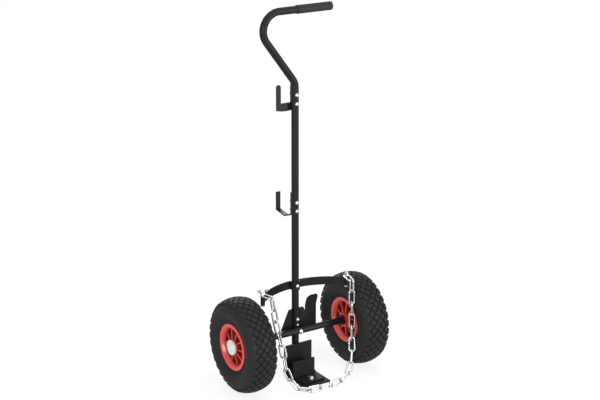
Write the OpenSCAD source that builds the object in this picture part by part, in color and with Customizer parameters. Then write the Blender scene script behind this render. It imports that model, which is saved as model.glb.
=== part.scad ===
// Two wheeled trolley for a gas cylinder: one bent steel pole with a side handle, a pair of
// pneumatic wheels on a through axle, a bent foot plate, a cradle strap with a safety chain.
// Millimetres. The floor is Z = 0, the front faces -Y, and the axle lies above the origin.

/* [Wheels] */
// Outer diameter of the tyres
wheel_d = 260; // [220:1:300]
// Width of a tyre
tyre_w = 85; // [80:1:90]
// Distance between the middle planes of the two wheels
wheel_track = 360; // [350:1:400]
// Diameter of the rim flange
rim_d = 127; // [120:1:136]
// Number of ribs on each face of a rim
rim_ribs = 10; // [6:1:12]
// Thickness of a rim rib
rib_t = 4; // [2.5:0.5:5]
// Diameter of the rim hub
hub_d = 38; // [35:1:42]
// Half of the hub's length
hub_half = 37.5; // [36:0.5:39]
// Outer diameter of a hub bush
bush_d = 25; // [24:0.5:27]
// Depth of the tread grooves
groove_depth = 3; // [1.5:0.5:4]
// Width of the tread grooves
groove_w = 4; // [2:0.5:5]
// Number of grooves across the tread
tread_count = 30; // [20:1:36]

/* [Axle] */
// Diameter of the axle
axle_d = 18; // [16:1:19]
// Diameter of the bolt through the axle
axle_bolt_d = 8; // [6:1:8]

/* [Pole and handle] */
// Diameter of the pole tube
pole_d = 20; // [18:0.5:22]
// Wall of the pole tube
pole_wall = 1.25; // [1:0.25:2]
// Height of the pole's lower end above the floor
pole_bottom = 8; // [6:1:20]
// Height where the pole begins to bend to the left
low_bend_z = 804; // [700:1:820]
// Straight length of the handle's slanting rise
handle_rise = 130; // [110:1:150]
// Reach of the bare tube's end to the right of the pole
handle_right = 109; // [90:1:130]
// Bend radius above the pole
low_bend_r = 40; // [30:1:50]
// Bend radius at the handle's left
high_bend_r = 48; // [42:1:52]
// Length of the hand grip
grip_len = 107; // [90:1:125]
// Outer diameter of the hand grip
grip_d = 23; // [22:0.5:28]

/* [Hooks] */
// Width of the hook straps
hook_w = 13; // [12:0.5:15]
// Thickness of the hook straps
hook_t = 4; // [3:0.5:5]
// Height of the middle of the upper hook's bolts
upper_hook_z = 774; // [700:1:780]
// Sideways reach of the upper hook, to the outside of its tip
upper_reach = 50; // [46:1:60]
// Height of the middle of the lower hook's bolts
lower_hook_z = 480; // [400:1:560]
// Backward reach of the lower hook, to the outside of its tip
lower_reach = 78; // [70:1:90]
// Distance between a hook's two bolts
hook_bolt_gap = 24; // [22:1:28]
// Height of the tips above the floor of their hooks
hook_tip_h = 50; // [40:1:60]

/* [Cradle] */
// Drop of the strap's middle below the tops of the tyres
bow_drop = 4; // [0:0.5:6]
// Height of the strap itself
bow_h = 23; // [20:1:26]
// Thickness of the strap
bow_t = 3; // [2.5:0.5:4]
// Inner radius of the strap's arms
bow_r = 182; // [165:1:220]
// Set-back of the arms behind the pole's middle plane
arm_back = 6; // [4:0.5:9]
// Distance of the eye bolts inside the tyres' inner faces
eye_inset = 3.5; // [3:0.5:12]
// Outer diameter of the strap's end eyes
eye_d = 12; // [11:0.5:13]
// Diameter of the eye bolts and of the bolts through the pole
bolt_d = 6; // [5:0.5:6]

/* [Chain] */
// Wire diameter of the chain links
wire_d = 5; // [4:0.25:5]
// Inner width of a link
link_in_w = 10; // [10:0.5:12]
// Pitch that the chain is made to, before it is fitted to its route
link_pitch = 35; // [33:0.5:38]
// Turn of the end links towards the middle
end_link_turn = 14; // [10:1:30]

/* [Axle bracket] */
// Thickness of the bracket's sheet
sheet_t = 3; // [2:0.5:4]
// Height of the bracket's upper edge above the axle
bracket_rise = 60; // [52:1:70]
// Drop of the bracket's lower edge below the axle
bracket_drop = 10; // [8:1:18]
// Height above the axle of the bolt that holds the bracket to the pole
bracket_bolt_rise = 29; // [28:1:40]
// Reach of the left wing's lower corner from the pole's middle
left_reach = 52; // [45:1:60]
// Reach of the right wing from the pole's middle
right_reach = 66; // [60:1:72]
// Height of the finger's tip above the axle
finger_rise = 92; // [85:1:105]
// Forward lean of the finger's tip
finger_lean = 18; // [0:1:25]

/* [Foot] */
// Width of the foot plate
foot_w = 88; // [78:1:110]
// Thickness of the foot plate
foot_t = 5; // [3:0.5:6]
// Height of the foot plate
foot_h = 90; // [80:1:100]
// Reach of the toe in front of the foot plate's upright
toe_len = 94; // [86:1:110]
// Outer radius of the foot plate's bend
foot_bend_r = 34; // [26:1:36]
// Width of the inner toe bracket
toe_w = 67; // [55:1:75]
// Height of the inner toe bracket
toe_h = 47; // [40:1:56]
// Space between the foot plate and the bracket's upright
toe_gap = 26; // [24:1:30]
// Length of the bracket's sole
toe_sole = 54; // [48:1:56]
// Diameter of the toe bolt
toe_bolt_d = 8; // [6:1:8]

/* [Hidden] */
$fn = 64;
// Gap between parts that are pressed, bolted or welded together
seat = 0.05;
// Running gap between the axle and the bushes, on the radius
run = 0.05;
// Free gap between parts that turn past each other
free = 0.4;
// Play of a bolt in a drilled hole, on the radius
drill_play = 0.25;
// Slack between two chain links along the chain
link_play = 0.6;

axle_z = wheel_d / 2;
wheel_x = wheel_track / 2;
pole_y = axle_d / 2 + sheet_t + pole_d / 2 + 2 * seat;
pole_front = pole_y - pole_d / 2;
pole_back = pole_y + pole_d / 2;

// Tyre and rim, measured from the wheel's middle plane and from the axle
rim_r = rim_d / 2;
flange_w = 3.5;
flange_face = 9;
well_slope = 3;
rim_dish = 6;
rim_flare = 2;
rim_throat = 12;
rib_root = 2;
bead_drop = 6;
bead_r = rim_r - bead_drop;
bead_in = 12;
bead_half = tyre_w / 2 - bead_in;
barrel_wall = 4;
well_r = bead_r - bead_drop;
well_half = bead_half - bead_in;
web_t = 6;
tyre_wall = 8;
tube_wall = 2;
wall_low = rim_r + 1;
shoulder_share = 0.48;
bead_share = 1 / 3;
shoulder_r = shoulder_share * (wheel_d / 2 - wall_low);
crown_r = 75;
row_w = tyre_w / 5;
row_floor = wheel_d / 2 - groove_depth - 1;
tread_slant = 30;
shoulder_tilt = 28;
valve_d = 8;
valve_x = 12;
valve_in = 10;
valve_hole_d = valve_d + 2;
// Overshoot of a cutting body past what it cuts
over = 4;

// Axle end, counted outwards from the bush in the hub's recess
hub_recess = 8.5;
bush_at = hub_half - hub_recess;
bush_depth = 18;
bush_flange_t = 2;
bush_flange = 2;
washer_t = 1.5;
washer_d = 30;
recess_r = washer_d / 2 + free;
ring_t = 2.5;
ring_d = 26;
axle_tail = 2;
collar_w = 8;
collar_d = 30;
washer_at = bush_at + bush_flange_t + free;
ring_at = washer_at + washer_t + seat;
axle_end = wheel_x + ring_at + ring_t + axle_tail;
cap_wall = 2;
cap_r = hub_d / 2 + cap_wall + seat;
cap_skirt = 6;
cap_rise = tyre_w / 2 - hub_half;
cap_sphere_r = (cap_r * cap_r + cap_rise * cap_rise) / (2 * cap_rise);

// Handle line in the X and Z plane
handle_slant = atan2(3, 4);
low_end_x = -low_bend_r * (1 - cos(handle_slant));
low_end_z = low_bend_z + low_bend_r * sin(handle_slant);
rise_top_x = low_end_x - handle_rise * sin(handle_slant);
rise_top_z = low_end_z + handle_rise * cos(handle_slant);
high_cx = rise_top_x + high_bend_r * cos(handle_slant);
high_cz = rise_top_z + high_bend_r * sin(handle_slant);
handle_z = high_cz + high_bend_r;
grip_wall_end = 3;
grip_round = 3;

// Pole's plug: rim below the tube, and stem inside it
plug_rim = 4;
plug_stem = 15;

// Upper hook: floor above its lower bolt, band under the floor, and the band's belly
upper_floor = upper_hook_z - hook_bolt_gap / 2 + 2;
upper_band = 19;
upper_belly = 3;
belly_r = 2.2 * upper_reach;

// Lower hook: strap above its upper bolt, drop of its floor, and where along its reach that is lowest
lower_overlap = 25;
lower_sag = 12;
lower_low_share = 0.42;

// Fasteners
head_d = 11;
head_h = 4;
nut_af = 10;
nut_h = 5;
tail = 2;
axle_head_d = 14;
axle_nut_af = 13;
axle_nut_h = 6.5;
axle_head_h = 5;
rivet_d = 4;
rivet_head_d = 7;
rivet_head_h = 2;
rivet_tail = 3;
rivet_z = axle_z + axle_d / 2 + rivet_d;
eye_head_h = 4;
through_y = pole_back + hook_t + over;

// Cradle strap
saddle_in = pole_d / 2 + seat;
saddle_out = saddle_in + bow_t;
bow_half = wheel_x - tyre_w / 2 - eye_inset;
bow_z = wheel_d - bow_drop;
bow_cy = pole_y + arm_back - bow_r;
bow_mid_r = bow_r + bow_t / 2;
bow_angle = asin(bow_half / bow_mid_r);
eye_y = bow_cy + bow_mid_r * cos(bow_angle);
bow_top = bow_z + bow_h / 2;
bow_bottom = bow_z - bow_h / 2;
wing_base = bow_top + wire_d + 2 * seat;
wing_hub_d = 13;
wing_hub_taper = 3;
wing_hub_h = 7;
wing_t = 2.5;
wing_r = 4.5;
wing_reach = 10;
wing_rise = 11;
wing_root_in = 3.5;
wing_root_out = 6;
wing_root_z = 0.5;
wing_lean = 0.9 * wing_r;
wing_slope = wing_r / 3;
right_wing_turn = 60;

// Chain: end links lie on the eyes, and the rest hangs from their tips
link_bend_r = (link_in_w + wire_d) / 2;
end_link_in = link_pitch + link_play;
end_arc = end_link_in / 2 - link_in_w / 2;
bolt_in_link = end_arc + link_in_w / 2 - bolt_d / 2 - seat;
end_mid_x = bow_half - bolt_in_link * sin(end_link_turn);
end_mid_y = eye_y - bolt_in_link * cos(end_link_turn);
end_link_z = bow_top + wire_d / 2 + seat;
pivot_x = end_mid_x - end_arc * sin(end_link_turn);
pivot_y = end_mid_y - end_arc * cos(end_link_turn) - link_bend_r;
pivot_z = end_link_z;
floor_z = 9;
// Route of the whole chain, from the left hanging point over the floor to the right one
hang_z = pivot_z + wire_d / 2;
route = [
    [-pivot_x, pivot_y, hang_z],
    [-119, -69, 203.5],
    [-107, -83, 128],
    [-100, -97.5, 59],
    [-72, -109, floor_z + 7],
    [-30, -117, floor_z],
    [42.5, -118, floor_z],
    [87.5, -106, floor_z + 12],
    [114.5, -84.5, 53],
    [125, -70, 107.5],
    [pivot_x, pivot_y, hang_z]
];
// Height over which the chain twists, below the middle of its first link
twist_h = 105;
first_mid_z = pivot_z - 15;

// Foot
upright_back = pole_front - seat;
upright_front = upright_back - foot_t;
toe_front = upright_front - toe_len;
toe_back = upright_front - toe_gap;
toe_bolt_in = 17;
toe_bolt_y = toe_back - toe_sole + toe_bolt_in;
toe_bend = foot_t + 2;
toe_base = foot_t + seat;
toe_head_af = 13;
toe_head_h = 5;
toe_washer_d = 20;
toe_washer_t = 1.6;
toe_sole_top = 2 * foot_t + seat;

// Axle bracket
sheet_in_r = pole_d / 2 + seat;
sheet_out_r = sheet_in_r + sheet_t;
bracket_top = axle_z + bracket_rise;
bracket_bottom = axle_z - bracket_drop;
bracket_bolt_z = axle_z + bracket_bolt_rise;
finger_top = axle_z + finger_rise;
left_top = 22;
left_drop = 2;
bump_r = 8;
bump_up = 3;
notch_drop = 12;
notch_z = bracket_top - notch_drop;
finger_in = 31;
finger_r = 15;
finger_r2 = 8;

// Points along the chain's route, on a smooth curve through its given points
steps = 24;
last = len(route) - 1;
function before_point(i) = i > 0 ? route[i - 1] : 2 * route[0] - route[1];
function after_point(i) = i < last ? route[i + 1] : 2 * route[last] - route[last - 1];
function on_curve(i, t) =
    let (a = before_point(i), b = route[i], c = route[i + 1], d = after_point(i + 1))
    0.5 * ((2 * b) + (c - a) * t + (2 * a - 5 * b + 4 * c - d) * t * t
        + (3 * b - a - 3 * c + d) * t * t * t);
curve = [for (i = [0:last - 1], k = [0:steps - 1]) on_curve(i, k / steps), route[last]];
function run_length(i) = i == 0 ? 0 : run_length(i - 1) + norm(curve[i] - curve[i - 1]);
chain_length = run_length(len(curve) - 1);
function at_length(s, i = 1) =
    let (step = norm(curve[i] - curve[i - 1]))
    (s <= step || i == len(curve) - 1)
        ? curve[i - 1] + (curve[i] - curve[i - 1]) * s / step
        : at_length(s - step, i + 1);
// An odd number of links, so that the first and the last one hang alike
link_count = 2 * round((chain_length / link_pitch - 1) / 2) + 1;
link_step = chain_length / link_count;
link_in_len = link_step + link_play;
// Half of a link's straight length, to a hundredth of a millimetre
finest = 0.01;
link_arc = finest * round((link_in_len - link_in_w) / 2 / finest);
function unit(v) = v / norm(v);
// Normal of one stretch of a line of points, and the offset to a strip's edge at one of its corners
function stretch_normal(points, i) =
    let (d = unit(points[i + 1] - points[i]))
    [-d[1], d[0]];
function corner_offset(points, i, t) =
    let (
        a = stretch_normal(points, max(i - 1, 0)),
        b = stretch_normal(points, min(i, len(points) - 2))
    )
    (a + b) * t / (2 + 2 * a * b);
function blend(t) = t <= 0 ? 0 : t >= 1 ? 1 : t * t * (3 - 2 * t);

LINKS = [for (k = [1:link_count]) str("chain_link_", k < 10 ? "0" : "", k)];

// Shared shapes

// Cross section of the pole's tube
module tube_ring() {
    difference() {
        circle(d = pole_d);
        circle(d = pole_d - 2 * pole_wall);
    }
}

// Straight tube along +Z
module tube(length) {
    linear_extrude(length)
        tube_ring();
}

// Tube bent in the X and Z plane about the origin, between two angles from +X
module tube_bend(bend_r, from, angle) {
    rotate([90, 0, 0])
        rotate_extrude(angle = angle, start = from)
            translate([bend_r, 0])
                tube_ring();
}

// The whole tube: upright, low bend, slanting rise, high bend in two stretches, handle bar
module bent_tube() {
    translate([0, pole_y, pole_bottom])
        tube(low_bend_z - pole_bottom);
    translate([-low_bend_r, pole_y, low_bend_z])
        tube_bend(low_bend_r, 0, handle_slant);
    translate([low_end_x, pole_y, low_end_z])
        rotate([0, -handle_slant, 0])
            tube(handle_rise);
    translate([high_cx, pole_y, high_cz]) {
        tube_bend(high_bend_r, 180, handle_slant);
        tube_bend(high_bend_r, 90, 90);
    }
    translate([high_cx, pole_y, handle_z])
        rotate([0, 90, 0])
            tube(handle_right - high_cx);
}

// Bolt with a domed head at Y = 0 and its shank along +Y
module dome_bolt(d, head, rise, length) {
    rotate([-90, 0, 0])
        cylinder(d = d, h = length);
    dome_r = (head * head / 4 + rise * rise) / (2 * rise);
    rotate([90, 0, 0])
        rotate_extrude()
            intersection() {
                translate([0, rise - dome_r])
                    circle(r = dome_r);
                square([head / 2, rise]);
            }
}

// Hexagon nut with its face at Y = 0, along +Y
module nut(af, d, h) {
    rotate([-90, 0, 0])
        difference() {
            cylinder(d = af / cos(30), h = h, $fn = 6);
            translate([0, 0, -over])
                cylinder(r = d / 2 + seat, h = h + 2 * over);
        }
}

// Hole along Y
module drill(d, x, z, from_y, to_y) {
    translate([x, from_y, z])
        rotate([-90, 0, 0])
            cylinder(r = d / 2 + drill_play, h = to_y - from_y);
}

// Flat strip of constant thickness that follows a line of points, with mitred bends
module strip(points, t) {
    ends = len(points) - 1;
    polygon([
        for (i = [0:ends]) points[i] + corner_offset(points, i, t),
        for (i = [ends:-1:0]) points[i] - corner_offset(points, i, t)
    ]);
}

// One closed link of round wire, long along X, lying in the X and Y plane
module link(arc) {
    for (side = [-1, 1]) {
        translate([-arc, side * link_bend_r, 0])
            rotate([0, 90, 0])
                cylinder(d = wire_d, h = 2 * arc);
        translate([side * arc, 0, 0])
            rotate([0, 0, side * 90 - 180])
                rotate_extrude(angle = 180)
                    translate([link_bend_r, 0])
                        circle(d = wire_d);
    }
}

// Pole, post and handle

module pole() {
    color("#1b1b1c")
        difference() {
            bent_tube();
            for (z = [upper_hook_z, lower_hook_z], side = [-0.5, 0.5])
                drill(bolt_d, 0, z + side * hook_bolt_gap, 0, through_y);
            drill(bolt_d, 0, bow_z, 0, through_y);
            drill(bolt_d, 0, bracket_bolt_z, 0, through_y);
            drill(axle_bolt_d, 0, axle_z, 0, through_y);
            drill(rivet_d, 0, rivet_z, 0, pole_y);
        }
}

module pole_plug() {
    color("#151515")
        translate([0, pole_y, pole_bottom - seat]) {
            translate([0, 0, -plug_rim])
                cylinder(d = pole_d, h = plug_rim);
            cylinder(d = pole_d - 2 * pole_wall - 2 * seat, h = plug_stem);
        }
}

module handle_grip() {
    color("#2c2c2e")
        difference() {
            translate([handle_right + grip_wall_end - grip_len, pole_y, handle_z])
                rotate([0, 90, 0])
                    rotate_extrude()
                        union() {
                            square([grip_d / 2 - grip_round, grip_len]);
                            square([grip_d / 2, grip_len - grip_round]);
                            translate([grip_d / 2 - grip_round, grip_len - grip_round])
                                circle(r = grip_round);
                        }
            translate([handle_right - grip_len, pole_y, handle_z])
                rotate([0, 90, 0])
                    cylinder(r = pole_d / 2 + seat, h = grip_len + seat);
        }
}

// Hooks

module upper_hook() {
    tip_x = -upper_reach + hook_w / 2;
    low = upper_floor - upper_band - upper_belly;
    color("#222223")
        difference() {
            translate([0, pole_back + seat + hook_t, 0])
                rotate([90, 0, 0])
                    linear_extrude(hook_t) {
                        for (x = [0, tip_x]) {
                            translate([x - hook_w / 2, upper_floor - upper_band / 2])
                                square([hook_w, hook_tip_h + upper_band / 2 - hook_w / 2]);
                            translate([x, upper_floor + hook_tip_h - hook_w / 2])
                                circle(d = hook_w);
                        }
                        intersection() {
                            translate([-upper_reach, low])
                                square([upper_reach + hook_w / 2, upper_band + upper_belly]);
                            translate([tip_x / 2, low + belly_r])
                                circle(r = belly_r, $fn = 180);
                        }
                    }
            for (side = [-0.5, 0.5])
                drill(bolt_d, 0, upper_hook_z + side * hook_bolt_gap, 0, through_y);
        }
}

module lower_hook() {
    back = pole_back + seat + hook_t / 2;
    tip = pole_back + lower_reach - hook_t / 2;
    top = lower_hook_z + hook_bolt_gap / 2 + lower_overlap;
    heel = lower_hook_z - hook_bolt_gap / 2 - hook_w;
    sag = heel - lower_sag;
    toe = sag + lower_sag / 2;
    color("#202021")
        difference() {
            translate([-hook_w / 2, 0, 0])
                rotate([90, 0, 90])
                    linear_extrude(hook_w)
                        strip([
                            [back, top],
                            [back, heel],
                            [back + lower_reach * lower_low_share, sag],
                            [tip, toe],
                            [tip, toe + hook_tip_h]
                        ], hook_t);
            for (side = [-0.5, 0.5])
                drill(bolt_d, 0, lower_hook_z + side * hook_bolt_gap, 0, through_y);
        }
}

module hook_bolts() {
    color("#d7d8d8")
        for (z = [upper_hook_z, lower_hook_z], side = [-0.5, 0.5])
            translate([0, pole_front - seat, z + side * hook_bolt_gap])
                dome_bolt(bolt_d, head_d, head_h, pole_d + hook_t + nut_h + tail);
}

module lock_nuts() {
    color("#c9cacb") {
        for (z = [upper_hook_z, lower_hook_z], side = [-0.5, 0.5])
            translate([0, pole_back + hook_t + 2 * seat, z + side * hook_bolt_gap])
                nut(nut_af, bolt_d, nut_h);
        translate([0, pole_back + seat, bow_z])
            nut(nut_af, bolt_d, nut_h);
        translate([0, pole_back + seat, bracket_bolt_z])
            nut(nut_af, bolt_d, nut_h);
    }
}

// Cradle strap and chain

module bottle_bow() {
    color("#1c1c1d")
        difference() {
            translate([0, 0, bow_bottom])
                linear_extrude(bow_h)
                    bow_outline();
            drill(bolt_d, 0, bow_z, pole_front - bow_t - over, pole_y);
        }
}

// The strap from above: half round in front of the pole, a leg on each side, two curved arms, eyes
module bow_outline() {
    difference() {
        union() {
            translate([0, pole_y])
                intersection() {
                    difference() {
                        circle(r = saddle_out);
                        circle(r = saddle_in);
                    }
                    translate([-saddle_out, -saddle_out])
                        square([2 * saddle_out, saddle_out]);
                }
            for (x = [saddle_in, -saddle_out])
                translate([x, pole_y])
                    square([bow_t, arm_back + bow_t / 2]);
            difference() {
                bow_arc();
                translate([-saddle_in, pole_y])
                    square([2 * saddle_in, bow_r]);
            }
            for (side = [-1, 1])
                translate([side * bow_half, eye_y])
                    circle(d = eye_d);
        }
        for (side = [-1, 1])
            translate([side * bow_half, eye_y])
                circle(r = bolt_d / 2 + drill_play);
    }
}

// Ring sector between the two eyes
module bow_arc() {
    translate([0, bow_cy])
        intersection() {
            difference() {
                circle(r = bow_r + bow_t, $fn = 180);
                circle(r = bow_r, $fn = 180);
            }
            polygon([
                [0, 0],
                [2 * bow_half, 2 * bow_mid_r * cos(bow_angle)],
                [-2 * bow_half, 2 * bow_mid_r * cos(bow_angle)]
            ]);
        }
}

module bow_bolt() {
    color("#d7d8d8")
        translate([0, pole_front - bow_t - 2 * seat, bow_z])
            dome_bolt(bolt_d, head_d, head_h, bow_t + pole_d + nut_h + tail);
}

module eye_bolts() {
    color("#cfd0d0")
        for (side = [-1, 1])
            translate([side * bow_half, eye_y, bow_bottom - seat]) {
                translate([0, 0, -eye_head_h])
                    rotate([0, 0, 30])
                        cylinder(d = nut_af / cos(30), h = eye_head_h, $fn = 6);
                translate([0, 0, -eye_head_h / 2])
                    cylinder(d = bolt_d, h = wing_base + wing_hub_h + tail - bow_bottom + eye_head_h / 2);
            }
}

module wing_nuts() {
    color("#c4c6c6")
        for (side = [-1, 1])
            translate([side * bow_half, eye_y, wing_base])
                rotate([0, 0, side < 0 ? -end_link_turn : right_wing_turn])
                    difference() {
                        union() {
                            cylinder(d1 = wing_hub_d, d2 = wing_hub_d - wing_hub_taper, h = wing_hub_h);
                            translate([0, wing_t / 2, 0])
                                rotate([90, 0, 0])
                                    linear_extrude(wing_t)
                                        for (way = [0, 1])
                                            mirror([way, 0])
                                                wing();
                        }
                        translate([0, 0, -over])
                            cylinder(r = bolt_d / 2 + seat, h = wing_rise + wing_r + 2 * over);
                    }
}

// One ear of a wing nut, rising outwards from the hub
module wing() {
    translate([wing_reach, wing_rise])
        circle(r = wing_r);
    polygon([
        [wing_root_in, wing_root_z],
        [wing_root_out, wing_root_z],
        [wing_reach + wing_lean, wing_rise - wing_slope],
        [wing_reach - wing_lean, wing_rise + wing_slope],
        [wing_root_in, wing_hub_h - wing_root_z]
    ]);
}

module chain_end_links() {
    color("#d2d4d4")
        for (side = [-1, 1])
            translate([side * end_mid_x, end_mid_y, end_link_z])
                rotate([0, 0, 90 - side * end_link_turn])
                    link(end_arc);
}

// One hanging link, counted from the left end
module chain_link(k) {
    a = at_length((k - 1) * link_step);
    b = at_length(k * link_step);
    mid = (a + b) / 2;
    along = unit(b - a);
    up = unit(cross(along, [0, -1, 0]));
    across = cross(up, along);
    turn = 90 * ((k - 1) % 2) - 45 * blend((first_mid_z - mid[2]) / twist_h);
    color("#d2d4d4")
        multmatrix([
            [along[0], across[0], up[0], mid[0]],
            [along[1], across[1], up[1], mid[1]],
            [along[2], across[2], up[2], mid[2]],
            [0, 0, 0, 1]
        ])
            rotate([turn, 0, 0])
                link(link_arc);
}

// Axle bracket: one pressed sheet, half round where it wraps the pole's front, with two wings

module axle_bracket() {
    color("#222221")
        difference() {
            union() {
                translate([0, pole_y, bracket_bottom])
                    linear_extrude(bracket_rise + bracket_drop)
                        intersection() {
                            difference() {
                                circle(r = sheet_out_r);
                                circle(r = sheet_in_r);
                            }
                            translate([-sheet_out_r, -sheet_out_r])
                                square([2 * sheet_out_r, sheet_out_r]);
                        }
                translate([0, pole_y, 0])
                    rotate([90, 0, 0])
                        linear_extrude(sheet_t)
                            wings();
                translate([0, pole_y, bracket_top])
                    rotate([90 + finger_lean, 0, 0])
                        linear_extrude(sheet_t)
                            finger_tip();
            }
            drill(bolt_d, 0, bracket_bolt_z, 0, pole_y);
            drill(axle_bolt_d, 0, axle_z, 0, pole_y);
            drill(rivet_d, 0, rivet_z, 0, pole_y);
        }
}

// Flat outline of both wings: across the trolley, and up
module wings() {
    joint_x = sheet_in_r + sheet_t / 2;
    polygon([
        [-joint_x, bracket_bottom],
        [-joint_x, bracket_top - left_drop],
        [-left_top, bracket_top - left_drop],
        [-left_reach, bracket_bottom]
    ]);
    translate([joint_x, bracket_bottom])
        square([right_reach - joint_x, notch_z - bracket_bottom]);
    translate([finger_in, bracket_bottom])
        square([right_reach - finger_in, bracket_top - bracket_bottom]);
    translate([joint_x + bump_r, notch_z + bump_up])
        circle(r = bump_r);
}

// Round end of the finger, from its crease upwards
module finger_tip() {
    height = (finger_top - bracket_top) / cos(finger_lean);
    translate([finger_in, 0])
        square([right_reach - finger_in, height - finger_r]);
    translate([finger_in + finger_r, height - finger_r])
        circle(r = finger_r);
    translate([finger_in + finger_r, height - finger_r])
        square([right_reach - finger_in - finger_r - finger_r2, finger_r]);
    translate([right_reach - finger_r2, height - finger_r2])
        circle(r = finger_r2);
    translate([finger_in + finger_r, height - finger_r])
        square([right_reach - finger_in - finger_r, finger_r - finger_r2]);
}

module bracket_bolt() {
    color("#d7d8d8")
        translate([0, pole_front - sheet_t - 2 * seat, bracket_bolt_z])
            dome_bolt(bolt_d, head_d, head_h, sheet_t + pole_d + nut_h + tail);
}

module bracket_rivet() {
    color("#d7d8d8")
        translate([0, pole_front - sheet_t - 2 * seat, rivet_z])
            dome_bolt(rivet_d, rivet_head_d, rivet_head_h, sheet_t + pole_wall + rivet_tail);
}

// Axle and what holds it

module axle() {
    color("#202021")
        difference() {
            translate([-axle_end, 0, axle_z])
                rotate([0, 90, 0])
                    cylinder(d = axle_d, h = 2 * axle_end);
            drill(axle_bolt_d, 0, axle_z, -axle_d, axle_d);
        }
}

module axle_bolt() {
    color("#d9dada")
        translate([0, -axle_d / 2 - seat, axle_z])
            dome_bolt(axle_bolt_d, axle_head_d, axle_head_h, axle_d / 2 + pole_back + axle_nut_h + tail);
}

module axle_nut() {
    color("#c9cacb")
        translate([0, pole_back + seat, axle_z])
            nut(axle_nut_af, axle_bolt_d, axle_nut_h);
}

// Ring round the axle, placed by its distance from a wheel's middle plane
module axle_ring(d, width, at, way) {
    for (side = [-1, 1])
        translate([side * (wheel_x + way * at), 0, axle_z])
            rotate([0, side * way * 90, 0])
                difference() {
                    cylinder(d = d, h = width);
                    translate([0, 0, -over])
                        cylinder(r = axle_d / 2 + seat, h = width + 2 * over);
                }
}

module axle_collars() {
    color("#202021")
        axle_ring(collar_d, collar_w, ring_at, -1);
}

module axle_washers() {
    color("#b9bbbb") {
        axle_ring(washer_d, washer_t, washer_at, 1);
        axle_ring(washer_d, washer_t, washer_at, -1);
    }
}

module axle_lock_rings() {
    color("#b9bbbb")
        axle_ring(ring_d, ring_t, ring_at, 1);
}

// Foot

module foot_plate() {
    color("#1f1f20")
        translate([-foot_w / 2, 0, 0])
            rotate([90, 0, 90])
                linear_extrude(foot_w) {
                    translate([upright_front, foot_bend_r])
                        square([foot_t, foot_h - foot_bend_r]);
                    translate([toe_front, 0])
                        square([upright_back - foot_bend_r - toe_front, foot_t]);
                    translate([upright_back - foot_bend_r, foot_bend_r])
                        intersection() {
                            difference() {
                                circle(r = foot_bend_r);
                                circle(r = foot_bend_r - foot_t);
                            }
                            translate([0, -foot_bend_r])
                                square(foot_bend_r);
                        }
                }
}

module toe_bracket() {
    color("#262627")
        difference() {
            translate([-toe_w / 2, 0, toe_base])
                rotate([90, 0, 90])
                    linear_extrude(toe_w) {
                        translate([toe_back - foot_t, toe_bend])
                            square([foot_t, toe_h - toe_bend]);
                        translate([toe_back - toe_sole, 0])
                            square([toe_sole - toe_bend, foot_t]);
                        translate([toe_back - toe_bend, toe_bend])
                            intersection() {
                                difference() {
                                    circle(r = toe_bend);
                                    circle(r = toe_bend - foot_t);
                                }
                                translate([0, -toe_bend])
                                    square(toe_bend);
                            }
                    }
            translate([0, toe_bolt_y, 0])
                cylinder(r = toe_bolt_d / 2 + drill_play, h = toe_h);
        }
}

module toe_washer() {
    color("#c2c4c4")
        translate([0, toe_bolt_y, toe_sole_top + seat])
            difference() {
                cylinder(d = toe_washer_d, h = toe_washer_t);
                translate([0, 0, -over])
                    cylinder(r = toe_bolt_d / 2 + drill_play, h = toe_washer_t + 2 * over);
            }
}

module toe_bolt() {
    color("#d0d1d1")
        translate([0, toe_bolt_y, 0]) {
            translate([0, 0, toe_sole_top + toe_washer_t + 2 * seat])
                cylinder(d = toe_head_af / cos(30), h = toe_head_h, $fn = 6);
            translate([0, 0, foot_t + 2 * seat])
                cylinder(d = toe_bolt_d, h = toe_sole_top + toe_washer_t - foot_t);
        }
}

// Wheels, drawn about the X axis with the outer face towards +X

// Outline of the tyre's outside: width along X, distance from the axle along Y
module tyre_outline() {
    half = tyre_w / 2;
    high = wheel_d / 2;
    intersection() {
        union() {
            translate([-half + shoulder_r, wall_low])
                square([tyre_w - 2 * shoulder_r, high - wall_low]);
            translate([-half, wall_low + shoulder_r])
                square([tyre_w, high - wall_low - 2 * shoulder_r]);
            for (side = [-1, 1], at = [wall_low + shoulder_r, high - shoulder_r])
                translate([side * (half - shoulder_r), at])
                    circle(r = shoulder_r);
        }
        translate([0, high - crown_r])
            circle(r = crown_r, $fn = 180);
    }
}

// Hollow of the tyre, drawn in by the given gap
module tyre_hollow(gap) {
    half = tyre_w / 2 - tyre_wall - gap;
    low = wall_low + tyre_wall / 2 + gap;
    high = wheel_d / 2 - tyre_wall - groove_depth - gap;
    round = shoulder_share * (high - low);
    translate([-half + round, low])
        square([2 * (half - round), high - low]);
    translate([-half, low + round])
        square([2 * half, high - low - 2 * round]);
    for (side = [-1, 1], at = [low + round, high - round])
        translate([side * (half - round), at])
            circle(r = round);
}

module tyre() {
    bead_h = bead_share * (wheel_d / 2 - wall_low) + wall_low - bead_r;
    difference() {
        rotate([0, 90, 0])
            rotate([0, 0, 90])
                rotate_extrude($fn = 96)
                    rotate(-90)
                        mirror([1, 0])
                            difference() {
                                union() {
                                    tyre_outline();
                                    translate([-bead_half + seat, bead_r + seat])
                                        square([2 * (bead_half - seat), bead_h]);
                                }
                                tyre_hollow(0);
                                translate([-well_half, bead_r - over])
                                    square([2 * well_half, bead_h + over]);
                                for (x = [-1, 0, 1])
                                    translate([x * row_w - groove_w / 2, row_floor])
                                        square([groove_w, groove_depth + over]);
                            }
        for (k = [0:tread_count - 1])
            rotate([k * 360 / tread_count, 0, 0])
                tread_cut();
    }
}

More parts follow.
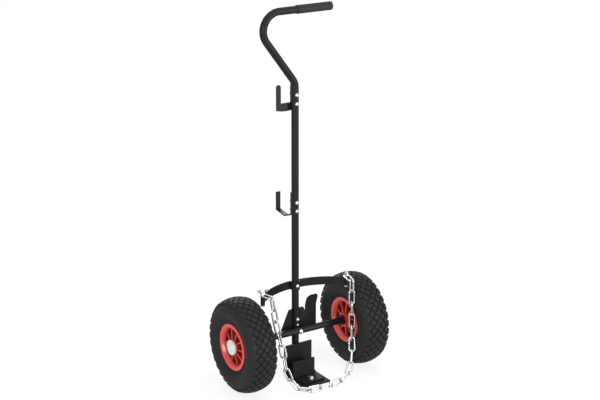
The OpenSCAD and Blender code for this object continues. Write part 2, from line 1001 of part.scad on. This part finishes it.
// Slanting cuts across the tread: one over the two middle rows, one over each shoulder row
module tread_cut() {
    reach = row_w / cos(tread_slant);
    tall = groove_depth + 2 * over;
    translate([0, 0, wheel_d / 2 - groove_depth])
        rotate([0, 0, tread_slant])
            translate([-reach, -groove_w / 2, 0])
                cube([2 * reach, groove_w, tall]);
    for (side = [-1, 1])
        rotate([side * 90 / tread_count, 0, 0])
            translate([side * row_w, 0, row_floor])
                rotate([0, side * shoulder_tilt, 0])
                    rotate([0, 0, -tread_slant])
                        translate([side < 0 ? -reach : 0, -groove_w / 2, 0])
                            cube([reach, groove_w, tall]);
}

module rim() {
    half = bead_half + flange_w;
    color("#c8191c")
        difference() {
            union() {
                rotate([0, 90, 0])
                    rotate_extrude()
                        rotate(-90)
                            rim_outline(half);
                for (face = [0, 1])
                    mirror([face, 0, 0])
                        for (k = [0:rim_ribs - 1])
                            rotate([(k + 0.5 * (1 - face)) * 360 / rim_ribs, 0, 0])
                                rib(half);
            }
            rotate([0, 90, 0])
                cylinder(r = bush_d / 2 + seat, h = 2 * hub_half, center = true);
            for (face = [0, 1])
                mirror([face, 0, 0])
                    translate([bush_at, 0, 0])
                        rotate([0, 90, 0])
                            cylinder(r = recess_r, h = hub_recess + over);
            translate([valve_x, 0, well_r - barrel_wall - over])
                cylinder(d = valve_hole_d, h = barrel_wall + 2 * over);
        }
}

// Half section of the rim: width along X, distance from the axle along Y
module rim_outline(half) {
    inner = well_r - barrel_wall;
    for (side = [0, 1])
        mirror([side, 0])
            polygon([
                [0, inner],
                [0, well_r],
                [well_half - well_slope, well_r],
                [well_half, bead_r],
                [bead_half, bead_r],
                [bead_half, rim_r],
                [half, rim_r],
                [half, rim_r - flange_face],
                [half - rim_dish, inner + rim_flare],
                [half - rim_throat, inner]
            ]);
    translate([-web_t / 2, hub_d / 2 - rib_root])
        square([web_t, inner - hub_d / 2 + 2 * rib_root]);
    translate([-hub_half, bush_d / 2 - seat])
        square([2 * hub_half, (hub_d - bush_d) / 2 + seat]);
}

// One radial rib, from the hub to the barrel, on the +X face
module rib(half) {
    inner = well_r - barrel_wall;
    low = hub_half - cap_skirt - rib_root;
    outer = inner + rim_flare - 10 * seat;
    translate([0, rib_t / 2, 0])
        rotate([90, 0, 0])
            linear_extrude(rib_t)
                polygon([
                    [0, hub_d / 2 - rib_root],
                    [low, hub_d / 2 - rib_root],
                    [low, hub_d / 2 + rib_root],
                    [half - rim_dish - rib_root, outer],
                    [0, outer]
                ]);
}

module inner_tube() {
    valve_low = well_r - barrel_wall - valve_in;
    color("#141414") {
        rotate([0, 90, 0])
            rotate([0, 0, 90])
                rotate_extrude()
                    rotate(-90)
                        mirror([1, 0])
                            difference() {
                                tyre_hollow(2 * seat);
                                tyre_hollow(2 * seat + tube_wall);
                            }
        translate([valve_x, 0, valve_low])
            cylinder(d = valve_d, h = wall_low + tyre_wall / 2 + tube_wall - valve_low);
    }
}

// Two flanged bushes, one in each end of the hub
module bushes() {
    color("#d8d8d4")
        for (face = [0, 1])
            mirror([face, 0, 0])
                translate([bush_at - bush_depth, 0, 0])
                    rotate([0, 90, 0])
                        difference() {
                            union() {
                                cylinder(d = bush_d, h = bush_depth + bush_flange_t);
                                translate([0, 0, bush_depth + seat])
                                    cylinder(r = bush_d / 2 + bush_flange, h = bush_flange_t - seat);
                            }
                            translate([0, 0, -over])
                                cylinder(r = axle_d / 2 + run, h = bush_depth + bush_flange_t + 2 * over);
                        }
}

// Domed cap pressed over the outer end of the hub
module hub_cap() {
    color("#c9cbca")
        translate([hub_half, 0, 0])
            rotate([0, 90, 0])
                rotate_extrude() {
                    translate([cap_r - cap_wall, -cap_skirt])
                        square([cap_wall, cap_skirt]);
                    intersection() {
                        difference() {
                            translate([0, cap_rise - cap_sphere_r])
                                circle(r = cap_sphere_r);
                            translate([0, cap_rise - cap_sphere_r])
                                circle(r = cap_sphere_r - cap_wall);
                        }
                        square([cap_r, cap_rise]);
                    }
                }
}

// Puts a wheel's piece on its side of the axle
module on_side(side) {
    translate([side * wheel_x, 0, axle_z])
        mirror([side < 0 ? 1 : 0, 0, 0])
            children();
}

module tyre_on(side) {
    color("#1e1e1f")
        on_side(side)
            tyre();
}

pole();
pole_plug();
handle_grip();
upper_hook();
lower_hook();
hook_bolts();
lock_nuts();
bottle_bow();
bow_bolt();
eye_bolts();
wing_nuts();
chain_end_links();
axle_bracket();
bracket_bolt();
bracket_rivet();
axle();
axle_bolt();
axle_nut();
axle_collars();
axle_washers();
axle_lock_rings();
foot_plate();
toe_bracket();
toe_bolt();
toe_washer();
tyre_on(-1);  // left_tyre
on_side(-1) inner_tube();  // left_tube
on_side(-1) rim();  // left_rim
on_side(-1) bushes();  // left_bushes
on_side(-1) hub_cap();  // left_hub_cap
tyre_on(1);  // right_tyre
on_side(1) inner_tube();  // right_tube
on_side(1) rim();  // right_rim
on_side(1) bushes();  // right_bushes
on_side(1) hub_cap();  // right_hub_cap
for (k = [1:link_count])
    chain_link(k);
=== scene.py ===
import math

import bmesh
import bpy
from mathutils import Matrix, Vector


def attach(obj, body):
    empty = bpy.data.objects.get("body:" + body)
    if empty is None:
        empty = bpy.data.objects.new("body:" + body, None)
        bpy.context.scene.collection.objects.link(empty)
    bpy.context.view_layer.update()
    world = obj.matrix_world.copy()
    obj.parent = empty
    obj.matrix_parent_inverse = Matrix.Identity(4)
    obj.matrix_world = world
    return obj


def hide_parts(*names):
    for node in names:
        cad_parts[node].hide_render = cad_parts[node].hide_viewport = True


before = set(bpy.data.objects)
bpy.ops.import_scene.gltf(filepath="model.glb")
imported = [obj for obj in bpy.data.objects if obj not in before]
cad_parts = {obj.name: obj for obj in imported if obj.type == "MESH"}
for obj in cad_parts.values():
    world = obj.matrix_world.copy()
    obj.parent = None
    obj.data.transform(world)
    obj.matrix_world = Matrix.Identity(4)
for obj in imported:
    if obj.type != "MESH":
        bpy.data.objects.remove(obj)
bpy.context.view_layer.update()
scene = bpy.context.scene


# Camera. A long lens, higher than the handle and to the left of the front, so that the trolley
# stands upright in a frame of 600 by 400 with the wheels near the lower edge.
camera_azimuth = math.radians(-32.75)
camera_elevation = math.radians(17.61)
camera_distance = 3.9253
camera_aim = Vector((0.0012, 0.0, 0.5033))
camera_data = bpy.data.cameras.new("camera")
camera_data.sensor_width = 36.0
camera_data.lens = 88.82
camera = bpy.data.objects.new("camera", camera_data)
scene.collection.objects.link(camera)
towards_camera = Vector((
    math.sin(camera_azimuth) * math.cos(camera_elevation),
    -math.cos(camera_azimuth) * math.cos(camera_elevation),
    math.sin(camera_elevation),
))
camera.location = camera_aim + camera_distance * towards_camera
camera.rotation_euler = towards_camera.to_track_quat("Z", "Y").to_euler()
scene.camera = camera
scene.view_settings.view_transform = "Standard"


# Studio. A pale floor that fades into a white surround, a tall soft lamp on each side in front
# and broad ones above and behind, so that the black pieces show their form from all sides and
# the floor keeps a faint shadow.
def feed(links, socket, value):
    """Sets a node's input to a value, or links it where the value is another node's output."""
    if isinstance(value, bpy.types.NodeSocket):
        links.new(value, socket)
    else:
        socket.default_value = value


def linked(nodes, links, kind, **inputs):
    """A new shader node with its named inputs set or linked."""
    node = nodes.new(kind)
    for name, value in inputs.items():
        feed(links, node.inputs[name.replace("_", " ")], value)
    return node


def maths(nodes, links, operation, *values):
    """The result of a Math node on these values or sockets."""
    node = nodes.new("ShaderNodeMath")
    node.operation = operation
    for socket, value in zip(node.inputs, values):
        feed(links, socket, value)
    return node.outputs[0]


def seen_ray(nodes, links):
    """1 for rays that show a surface by sight, mirror or glass, and 0 for rays that light it."""
    path = nodes.new("ShaderNodeLightPath")
    seen = maths(nodes, links, "MAXIMUM",
                 path.outputs["Is Camera Ray"], path.outputs["Is Glossy Ray"])
    return maths(nodes, links, "MAXIMUM", seen, path.outputs["Is Transmission Ray"])


def shader_mix(nodes, links, share, lit, shown):
    """The shader of the node lit, with the given share of the node shown."""
    mix = nodes.new("ShaderNodeMixShader")
    for socket, value in zip(mix.inputs, (share, lit.outputs[0], shown.outputs[0])):
        links.new(value, socket)
    return mix.outputs[0]


white = (1, 1, 1, 1)
ambient_strength = 0.28
surround_strength = 1.0
world = bpy.data.worlds.new("studio")
scene.world = world
world.use_nodes = True
world_nodes, world_links = world.node_tree.nodes, world.node_tree.links
world_nodes.clear()
ambient = linked(world_nodes, world_links, "ShaderNodeBackground",
                 Color=white, Strength=ambient_strength)
surround = linked(world_nodes, world_links, "ShaderNodeBackground",
                  Color=white, Strength=surround_strength)
linked(world_nodes, world_links, "ShaderNodeOutputWorld",
       Surface=shader_mix(world_nodes, world_links, seen_ray(world_nodes, world_links),
                          ambient, surround))

floor_half = 6.0
floor_drop = 0.0005
floor_grey = (0.9, 0.9, 0.9, 1)
shadow_reach, white_reach = 0.45, 1.1
shadow_white = 0.82
floor_mesh = bpy.data.meshes.new("floor")
floor_mesh.from_pydata(
    [(x * floor_half, y * floor_half, -floor_drop)
     for x, y in ((-1, -1), (1, -1), (1, 1), (-1, 1))],
    [], [(0, 1, 2, 3)])
floor = bpy.data.objects.new("floor", floor_mesh)
scene.collection.objects.link(floor)
floor_paint = bpy.data.materials.new("floor_paint")
floor_paint.use_nodes = True
floor_nodes, floor_links = floor_paint.node_tree.nodes, floor_paint.node_tree.links
floor_nodes.clear()
matt = linked(floor_nodes, floor_links, "ShaderNodeBsdfDiffuse", Color=floor_grey)
glow = linked(floor_nodes, floor_links, "ShaderNodeEmission", Color=white, Strength=1.0)
floor_place = floor_nodes.new("ShaderNodeTexCoord")
floor_reach = floor_nodes.new("ShaderNodeVectorMath")
floor_reach.operation = "LENGTH"
floor_links.new(floor_place.outputs["Object"], floor_reach.inputs[0])
fade = linked(floor_nodes, floor_links, "ShaderNodeMapRange", Value=floor_reach.outputs["Value"],
              From_Min=shadow_reach, From_Max=white_reach, To_Min=shadow_white, To_Max=1.0)
fade.interpolation_type = "SMOOTHSTEP"
glow_share = maths(floor_nodes, floor_links, "MULTIPLY",
                   seen_ray(floor_nodes, floor_links), fade.outputs["Result"])
linked(floor_nodes, floor_links, "ShaderNodeOutputMaterial",
       Surface=shader_mix(floor_nodes, floor_links, glow_share, matt, glow))
floor_mesh.materials.append(floor_paint)


def soft_lamp(name, place, target, width, height, power):
    """A rectangular lamp of the given size in metres, turned to face its target."""
    data = bpy.data.lights.new(name, "AREA")
    data.shape = "RECTANGLE"
    data.size = width
    data.size_y = height
    data.energy = power
    lamp = bpy.data.objects.new(name, data)
    lamp.location = place
    lamp.rotation_euler = (Vector(place) - Vector(target)).to_track_quat("Z", "Y").to_euler()
    scene.collection.objects.link(lamp)


soft_lamp("lamp_left", place=(-2.3, -1.93, 0.85), target=(0, 0, 0.6),
          width=0.6, height=1.7, power=75)
soft_lamp("lamp_right", place=(1.5, -2.6, 0.85), target=(0, 0, 0.6),
          width=0.6, height=1.7, power=80)
soft_lamp("lamp_top", place=(0.0, -0.4, 3.2), target=(0, 0, 0.3),
          width=4.4, height=3.6, power=90)
soft_lamp("lamp_back", place=(0.9, 2.9, 1.5), target=(0, 0, 0.4),
          width=1.4, height=1.4, power=60)


# Bent pole. One length of steel tube, cold bent into the side handle, then powder coated black;
# the coat has a satin gloss and a fine orange-peel skin.
MM = 0.001


def grain_group():
    """Shader group: fine and broad noise over the surface, in the object's own metres."""
    group = bpy.data.node_groups.new("surface_grain", "ShaderNodeTree")
    sockets = group.interface
    for name, value in (("Fine Scale", 900.0), ("Broad Scale", 14.0)):
        socket = sockets.new_socket(name, in_out="INPUT", socket_type="NodeSocketFloat")
        socket.default_value = value
    for name in ("Fine", "Broad"):
        sockets.new_socket(name, in_out="OUTPUT", socket_type="NodeSocketFloat")
    nodes, links = group.nodes, group.links
    entry = nodes.new("NodeGroupInput")
    leave = nodes.new("NodeGroupOutput")
    place = nodes.new("ShaderNodeTexCoord")
    for name, detail in (("Fine", 3.0), ("Broad", 5.0)):
        noise = linked(nodes, links, "ShaderNodeTexNoise", Vector=place.outputs["Object"],
                       Scale=entry.outputs[name + " Scale"], Detail=detail)
        links.new(noise.outputs["Fac"], leave.inputs[name])
    return group


surface_grain = grain_group()


def colour_mix(nodes, links, share, low, high):
    """A colour from low to high, each a colour or a socket, at the given share of high."""
    mix = nodes.new("ShaderNodeMix")
    mix.data_type = "RGBA"
    for index, value in ((0, share), (6, low), (7, high)):
        feed(links, mix.inputs[index], value)
    return mix.outputs[2]


def finish(name, dark, light, rough, bump, fine_scale=900.0, broad_scale=14.0, **fixed):
    """A material whose colour and gloss vary over the surface, with a bump of bump millimetres."""
    material = bpy.data.materials.new(name)
    material.use_nodes = True
    nodes, links = material.node_tree.nodes, material.node_tree.links
    nodes.clear()
    grain = nodes.new("ShaderNodeGroup")
    grain.node_tree = surface_grain
    grain.inputs["Fine Scale"].default_value = fine_scale
    grain.inputs["Broad Scale"].default_value = broad_scale
    tone = colour_mix(nodes, links, grain.outputs["Broad"], (*dark, 1), (*light, 1))
    gloss = linked(nodes, links, "ShaderNodeMapRange", Value=grain.outputs["Broad"],
                   From_Min=0.3, From_Max=0.7, To_Min=rough[0], To_Max=rough[1])
    relief = linked(nodes, links, "ShaderNodeBump", Strength=1.0, Distance=bump * MM,
                    Height=grain.outputs["Fine"])
    surface = linked(nodes, links, "ShaderNodeBsdfPrincipled", Base_Color=tone,
                     Roughness=gloss.outputs["Result"], Normal=relief.outputs["Normal"], **fixed)
    linked(nodes, links, "ShaderNodeOutputMaterial", Surface=surface.outputs[0])
    return material


def wear(material, *names):
    """Gives these CAD nodes the material."""
    for name in names:
        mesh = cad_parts[name].data
        mesh.materials.clear()
        mesh.materials.append(material)


black_coat = finish("black_coat", dark=(0.006, 0.006, 0.0065), light=(0.011, 0.011, 0.0115),
                    rough=(0.38, 0.46), bump=0.012, fine_scale=700.0, Specular_IOR_Level=0.1)
wear(black_coat, "pole")


# Plug and grip. The plug closes the tube's lower end; the grip is pushed over the handle's end.
# Both are plastic mouldings, the grip dark grey and finely pebbled.
grip_skin = finish("grip_skin", dark=(0.011, 0.011, 0.0114), light=(0.018, 0.018, 0.0184),
                   rough=(0.5, 0.62), bump=0.06, fine_scale=1100.0, Specular_IOR_Level=0.14)
wear(grip_skin, "handle_grip", "pole_plug")


# Hooks. Two cut and bent steel straps on the pole's back, deburred before the black coat, so their
# edges are slightly round.
def eased(node, piece, body, material, edge):
    """Puts a copy of a CAD node, its sharp edges rounded by edge millimetres, in its place."""
    same_point = 0.01 * MM
    flat_angle, sharp_angle = math.radians(0.5), math.radians(35)
    solid = bmesh.new()
    solid.from_mesh(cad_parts[node].data)
    bmesh.ops.remove_doubles(solid, verts=solid.verts, dist=same_point)
    bmesh.ops.dissolve_limit(solid, angle_limit=flat_angle, verts=solid.verts, edges=solid.edges)
    for face in solid.faces:
        face.smooth = True
    mesh = bpy.data.meshes.new(piece)
    solid.to_mesh(mesh)
    solid.free()
    for name in ("custom_normal", "sharp_edge", "sharp_face"):
        if name in mesh.attributes:
            mesh.attributes.remove(mesh.attributes[name])
    mesh.materials.clear()
    mesh.materials.append(material)
    copy = bpy.data.objects.new(piece, mesh)
    scene.collection.objects.link(copy)
    bevel = copy.modifiers.new("edge", "BEVEL")
    bevel.width = edge * MM
    bevel.segments = 2
    bevel.limit_method = "ANGLE"
    bevel.angle_limit = sharp_angle
    bevel.harden_normals = True
    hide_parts(node)
    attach(copy, body)


eased("upper_hook", "upper_hook_plate", "frame", black_coat, edge=0.5)
eased("lower_hook", "lower_hook_strap", "frame", black_coat, edge=0.6)


# Bolts and nuts through the pole. Domed heads in front and lock nuts behind clamp the hooks, the
# strap, the bracket and the axle to the tube. They are cold formed steel, zinc plated.
zinc = finish("zinc", dark=(0.34, 0.345, 0.35), light=(0.5, 0.505, 0.51), rough=(0.22, 0.32),
              bump=0.01, fine_scale=1500.0, broad_scale=60.0, Metallic=1.0)
wear(zinc, "hook_bolts", "bow_bolt", "bracket_bolt", "bracket_rivet", "axle_bolt")
eased("lock_nuts", "lock_nuts_plated", "frame", zinc, edge=0.4)
eased("axle_nut", "axle_nut_plated", "frame", zinc, edge=0.5)


# Cradle strap. Flat steel, black coated, with a half-round seat on the pole, arms rolled to the
# cylinder's curve and ends rolled into eyes. Plated bolts with wing nuts stand in the eyes.
eased("bottle_bow", "bottle_bow_strap", "frame", black_coat, edge=0.7)
eased("eye_bolts", "eye_bolts_plated", "frame", zinc, edge=0.4)
eased("wing_nuts", "wing_nuts_cast", "frame", zinc, edge=0.6)


# Safety chain. Welded long links of round steel wire, zinc plated, each hung in the next; the end
# links lie on the strap's eyes under the wing nuts.
chain_nodes = sorted(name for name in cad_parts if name.startswith("chain_link"))
wear(zinc, "chain_end_links", *chain_nodes)


# Axle bracket. One pressed steel sheet, black coated, with a half-round seat for the pole between
# a plain wing and a fingered one; a bolt and a rivet hold it to the pole.
eased("axle_bracket", "axle_bracket_sheet", "frame", black_coat, edge=0.5)


# Axle. A solid steel bar, black coated, that both wheels turn on; turned collars, washers and
# push-on rings keep the wheels in place.
wear(black_coat, "axle")
eased("axle_collars", "axle_collars_turned", "frame", black_coat, edge=0.6)
wear(zinc, "axle_washers", "axle_lock_rings")


# Foot. A bent steel plate at the pole's lower end, black coated, that carries the cylinder, with
# a small angle fixed to its toe by a plated screw and washer.
eased("foot_plate", "foot_plate_bent", "frame", black_coat, edge=0.7)
eased("toe_bracket", "toe_bracket_bent", "frame", black_coat, edge=0.7)
eased("toe_bolt", "toe_bolt_plated", "frame", zinc, edge=0.5)
wear(zinc, "toe_washer")


# Tyres. Moulded black rubber with smooth side walls and a tread of raised blocks set on the
# diagonal; each is seated on its rim by two beads and holds an inner tube.
axle_height = 0.13
wheel_x = 0.18
tyre_rubber = finish("tyre_rubber", dark=(0.01, 0.01, 0.0104), light=(0.018, 0.018, 0.0185),
                     rough=(0.55, 0.75), bump=0.06, fine_scale=1200.0, Specular_IOR_Level=0.1)


def tyre_profile(s):
    """Place and outward normal on the outside, s millimetres from the crown: (x, r, nx, nr)."""
    crown_r, crown_c, crown_turn = 75.0, 55.0, math.radians(23.33)
    round_r, round_x = 31.44, 11.06
    upper_c, upper_turn = 98.56, math.radians(53.63)
    lower_c, lower_turn = 95.94, math.radians(51.9)
    sign = 1.0 if s >= 0 else -1.0
    s = abs(s)
    if s <= crown_r * crown_turn:
        a = s / crown_r
        return (sign * crown_r * math.sin(a), crown_c + crown_r * math.cos(a),
                sign * math.sin(a), math.cos(a))
    s -= crown_r * crown_turn
    a, middle = upper_turn - s / round_r, upper_c
    if a < 0:
        s -= round_r * upper_turn
        a, middle = 0.0, max(upper_c - s, lower_c)
        if middle == lower_c:
            s -= upper_c - lower_c
            a = -min(s / round_r, lower_turn)
    x, r = round_x + round_r * math.cos(a), middle + round_r * math.sin(a)
    bead = max(s - round_r * lower_turn, 0.0) if a == -lower_turn else 0.0
    return sign * x, r - bead, sign * math.cos(a), math.sin(a)


def tyre_mesh(name, centre):
    """A tyre about the axle: a smooth casing, and rows of raised diamond blocks over its crown."""
    segments = 165
    blocks_round = 33
    row_step, last_row = 10.2, 3
    groove, casing = 3.8, 5.5
    half_across, half_round = 8.3, 9.9
    tip_cut = 7.3
    tip_round = half_round * (1 - tip_cut / half_across)
    lug_reach, lug_round = 7.6, 6.2
    tread_edge, wall_start = 38.5, 62.0
    tread_r = 126.0
    block_root, block_side, block_top = (1.06, groove + 0.4), (1.0, 0.7), (0.9, 0.0)
    crown_places = [5.0 * i for i in range(8)]
    shoulder_places = [tread_edge, 41.0, 43.5, 46.0, 48.5, 51.0, 54.0, 58.0, wall_start]
    wall_places = [66.0, 70.0, 75.0, 80.0, 85.0, 88.0, 91.0, 91.2, 96.0, 101.0]
    verts, faces = [], []

    def put(s, angle, sink):
        x, r, nx, nr = tyre_profile(s)
        x, r = x - sink * nx, r - sink * nr
        verts.append((centre + x * MM, r * MM * math.sin(angle),
                      axle_height + r * MM * math.cos(angle)))
        return len(verts) - 1

    def put_ring(s, sink):
        return [put(s, 2 * math.pi * k / segments, sink) for k in range(segments)]

    half = crown_places + shoulder_places + wall_places
    across = [-s for s in reversed(half[1:])] + half
    rings = []
    for s in across:
        fade = min(max((abs(s) - tread_edge) / (wall_start - tread_edge), 0.0), 1.0)
        rings.append(put_ring(s, groove * (1 - fade * fade * (3 - 2 * fade))))
    for s in reversed(across):
        rings.append(put_ring(s, casing))
    for low, high in zip(rings, rings[1:] + rings[:1]):
        for k in range(segments):
            n = (k + 1) % segments
            faces.append((low[k], low[n], high[n], high[k]))
    for row in range(-last_row, last_row + 1):
        tips = [(tip_cut, tip_round), (-tip_cut, tip_round)]
        if row == last_row:
            tips[0] = (lug_reach, lug_round)
        elif row == -last_row:
            tips[1] = (-lug_reach, lug_round)
        (ahead, ahead_round), (behind, behind_round) = tips
        outline = [(0, half_round), (ahead, ahead_round), (ahead, -ahead_round),
                   (0, -half_round), (behind, -behind_round), (behind, behind_round)]
        corners = len(outline)
        for k in range(blocks_round):
            turn = 2 * math.pi * (k + 0.5 * (row % 2)) / blocks_round
            loops = [[put(row * row_step + scale * ds, turn + scale * du / tread_r, sink)
                      for ds, du in outline]
                     for scale, sink in (block_root, block_side, block_top)]
            middle = put(row * row_step, turn, 0.0)
            for i in range(corners):
                n = (i + 1) % corners
                for low, high in zip(loops, loops[1:]):
                    faces.append((low[i], high[i], high[n], low[n]))
                faces.append((loops[-1][i], middle, loops[-1][n]))
            faces.append(tuple(loops[0]))
    mesh = bpy.data.meshes.new(name)
    mesh.from_pydata(verts, [], faces)
    mesh.validate()
    solid = bmesh.new()
    solid.from_mesh(mesh)
    bmesh.ops.recalc_face_normals(solid, faces=solid.faces)
    for face in solid.faces:
        face.smooth = True
    solid.to_mesh(mesh)
    solid.free()
    mesh.set_sharp_from_angle(angle=math.radians(32))
    mesh.materials.append(tyre_rubber)
    return mesh


for side, sign in (("left", -1), ("right", 1)):
    tyre_name = side + "_tyre_treaded"
    tyre = bpy.data.objects.new(tyre_name, tyre_mesh(tyre_name, sign * wheel_x))
    scene.collection.objects.link(tyre)
    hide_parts(side + "_tyre")
    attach(tyre, side + "_wheel")
    wear(tyre_rubber, side + "_tube")


# Rims. Injection moulded in red plastic: a broad flange, deep pockets and thin ribs to the hub,
# which holds two flanged bushes. Painted shade darkens the red towards the bottom of the pockets,
# standing in for the shade that falls in these deep recesses.
red_plastic = finish("red_plastic", dark=(0.44, 0.02, 0.01), light=(0.52, 0.027, 0.014),
                     rough=(0.28, 0.38), bump=0.03, fine_scale=900.0, Specular_IOR_Level=0.6)
# Painted shade: by depth in the wheel, the red falls to near black at the pocket bottoms, in place
# of the shade of the recesses.
painted_pocket_shade_red = (0.03, 0.001, 0.001, 1)
pocket_bottom, pocket_mouth = 14 * MM, 35 * MM
red_nodes, red_links = red_plastic.node_tree.nodes, red_plastic.node_tree.links
red_place = red_nodes.new("ShaderNodeTexCoord")
red_axes = linked(red_nodes, red_links, "ShaderNodeSeparateXYZ", Vector=red_place.outputs["Object"])
off_axis = maths(red_nodes, red_links, "ABSOLUTE", red_axes.outputs["X"])
off_centre = maths(red_nodes, red_links, "SUBTRACT", off_axis, wheel_x)
off_middle = maths(red_nodes, red_links, "ABSOLUTE", off_centre)
painted_shade_fade = linked(red_nodes, red_links, "ShaderNodeMapRange", Value=off_middle,
                      From_Min=pocket_bottom, From_Max=pocket_mouth, To_Min=0.0, To_Max=1.0)
red_surface = next(node for node in red_nodes if node.type == "BSDF_PRINCIPLED")
face_red = red_surface.inputs["Base Color"].links[0].from_socket
rim_red_with_painted_shade = colour_mix(red_nodes, red_links, painted_shade_fade.outputs["Result"], painted_pocket_shade_red, face_red)
red_links.new(rim_red_with_painted_shade, red_surface.inputs["Base Color"])
white_plastic = finish("white_plastic", dark=(0.7, 0.7, 0.67), light=(0.8, 0.8, 0.77),
                       rough=(0.4, 0.5), bump=0.02)
for side in ("left", "right"):
    eased(side + "_rim", side + "_rim_moulded", side + "_wheel", red_plastic,
          edge=0.8)
    wear(white_plastic, side + "_bushes")


# Hub caps. Domed caps of grey plastic, injection moulded and pressed over the outer ends of the
# hubs, where they cover the axle's ends.
grey_plastic = finish("grey_plastic", dark=(0.44, 0.44, 0.42), light=(0.52, 0.52, 0.5),
                      rough=(0.28, 0.4), bump=0.02)
for side in ("left", "right"):
    eased(side + "_hub_cap", side + "_hub_cap_moulded", side + "_wheel",
          grey_plastic, edge=0.8)
